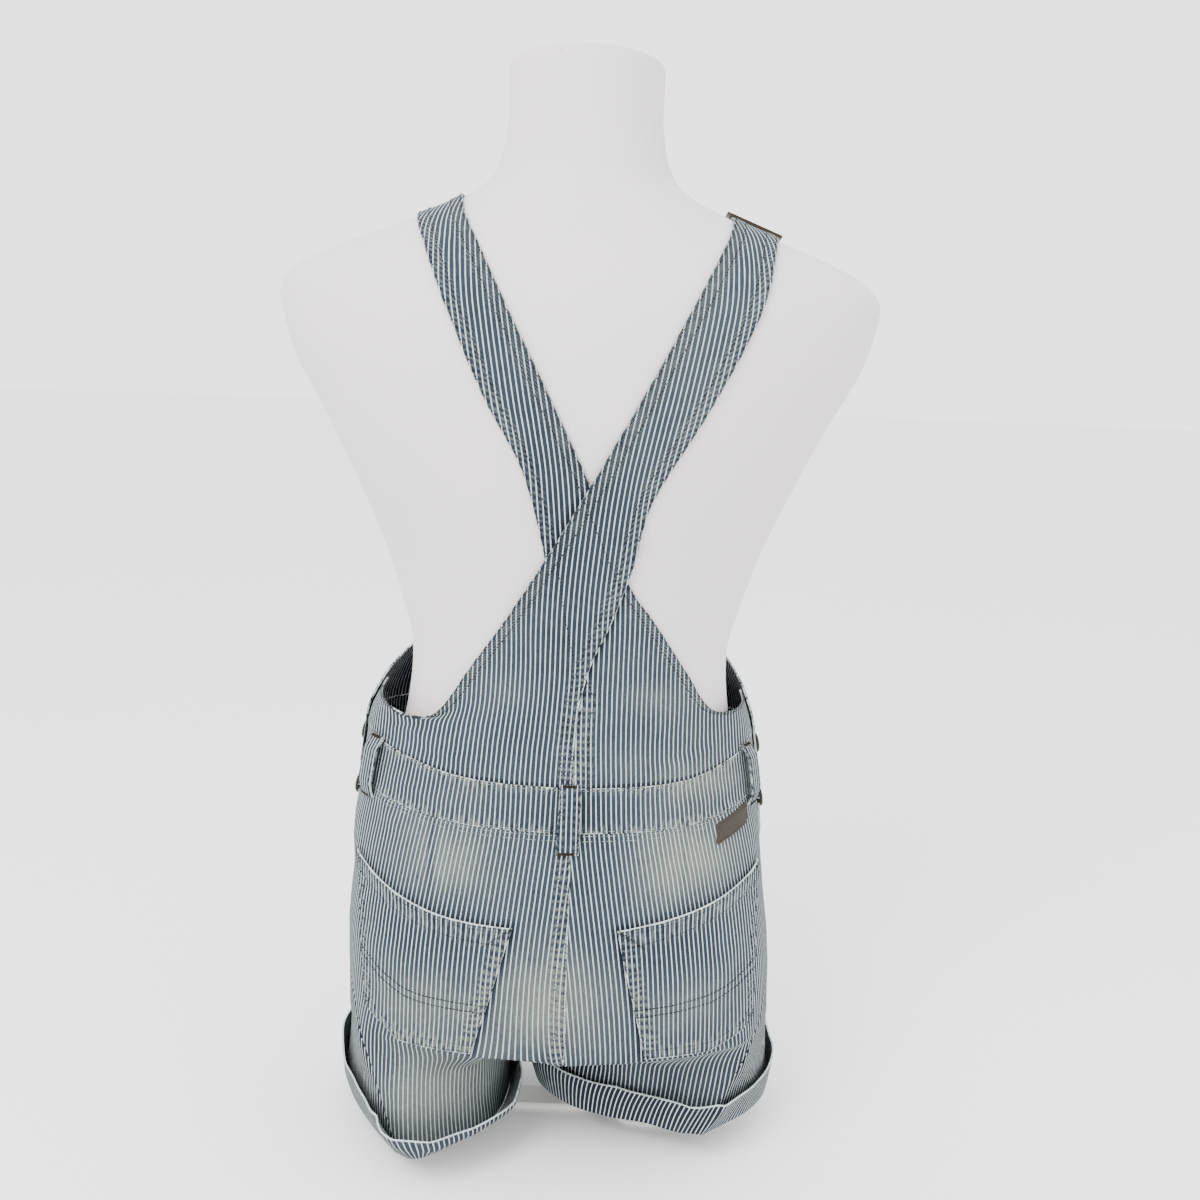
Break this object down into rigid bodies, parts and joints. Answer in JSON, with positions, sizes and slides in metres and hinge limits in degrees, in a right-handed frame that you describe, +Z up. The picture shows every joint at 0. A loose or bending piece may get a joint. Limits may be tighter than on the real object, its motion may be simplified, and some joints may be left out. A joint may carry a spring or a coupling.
{
  "type": "denim dungaree shorts on dress form",
  "caption": "Striped denim dungaree shorts with crossed back straps, bib and turned-up hems, worn by a legless dress form on a low stand.",
  "frame": {"origin": "on the floor, on the underside of the stand's crossbar, below the middle of the form's width", "axes": "+Z up, +Y to the front of the garment, where the bib is, +X to the wearer's right"},
  "size_m": [0.4816, 0.2654, 0.8959],
  "materials": {
    "denim": "faded blue denim with thin white stripes",
    "denim_turnup": "blue denim with thin white stripes, turned up",
    "jersey": "off-white stretch jersey over a smooth form",
    "bronze": "dark antique bronze",
    "leather": "matt grey-brown",
    "stand": "satin off-white"
  },
  "bodies": {
    "root": {"dress_form": "jersey", "foot_left": "stand", "foot_right": "stand", "crossbar": "stand", "post_left": "stand", "post_right": "stand", "back_left": "denim", "back_right": "denim", "front_left": "denim", "front_right": "denim", "turnup_left": "denim_turnup", "turnup_right": "denim_turnup", "pocket_left": "denim", "pocket_right": "denim", "waistband_back": "denim", "waistband_front": "denim", "yoke_left_strap_right": "denim", "yoke_right_strap_left": "denim", "bib": "denim", "leather_patch": "leather", "belt_loop_centre": "denim", "belt_loop_left": "denim", "belt_loop_right": "denim", "slider_left": "bronze", "slider_right": "bronze", "hook_left": "bronze", "hook_right": "bronze", "bib_button_left": "bronze", "bib_button_right": "bronze", "side_button_left_1": "bronze", "side_button_left_2": "bronze", "side_button_right_1": "bronze", "side_button_right_2": "bronze"}
  },
  "joints": []
}
